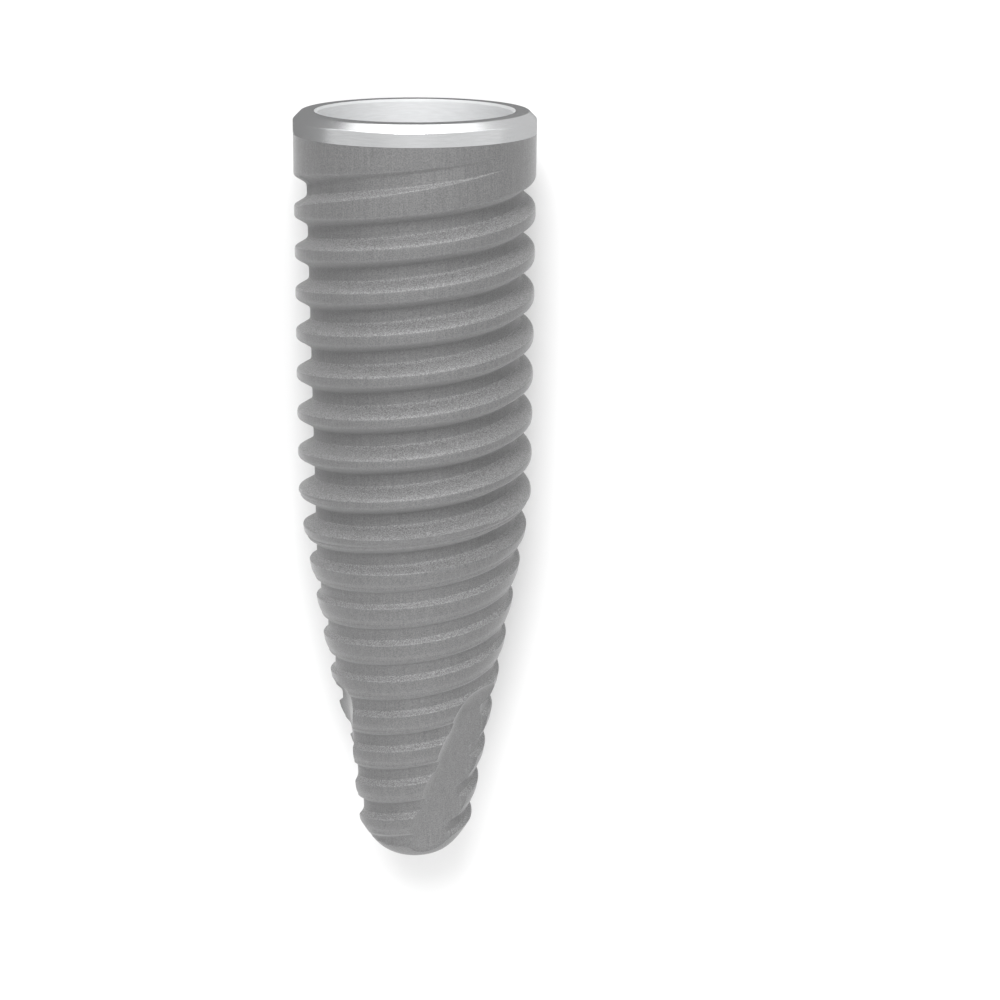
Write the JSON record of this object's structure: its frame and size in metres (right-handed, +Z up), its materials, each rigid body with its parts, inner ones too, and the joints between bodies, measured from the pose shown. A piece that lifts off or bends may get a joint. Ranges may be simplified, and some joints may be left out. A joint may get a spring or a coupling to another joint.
{
  "type": "dental implant",
  "caption": "Tapered root form dental implant with a blasted threaded body, polished collar, internal conical hex socket and slanted cutting flutes at a domed tip",
  "frame": {"origin": "middle of the box round the part, at the surface that it lies on", "axes": "+Y along the implant's axis, from the domed tip to the platform; +Z up as it lies; +X to the right, seen from above with the platform at the far end"},
  "size_m": [0.0044, 0.0148, 0.0045],
  "materials": {
    "implant": "fine blasted grey titanium, with a narrow polished collar"
  },
  "bodies": {
    "root": {"implant": "implant"}
  },
  "joints": []
}
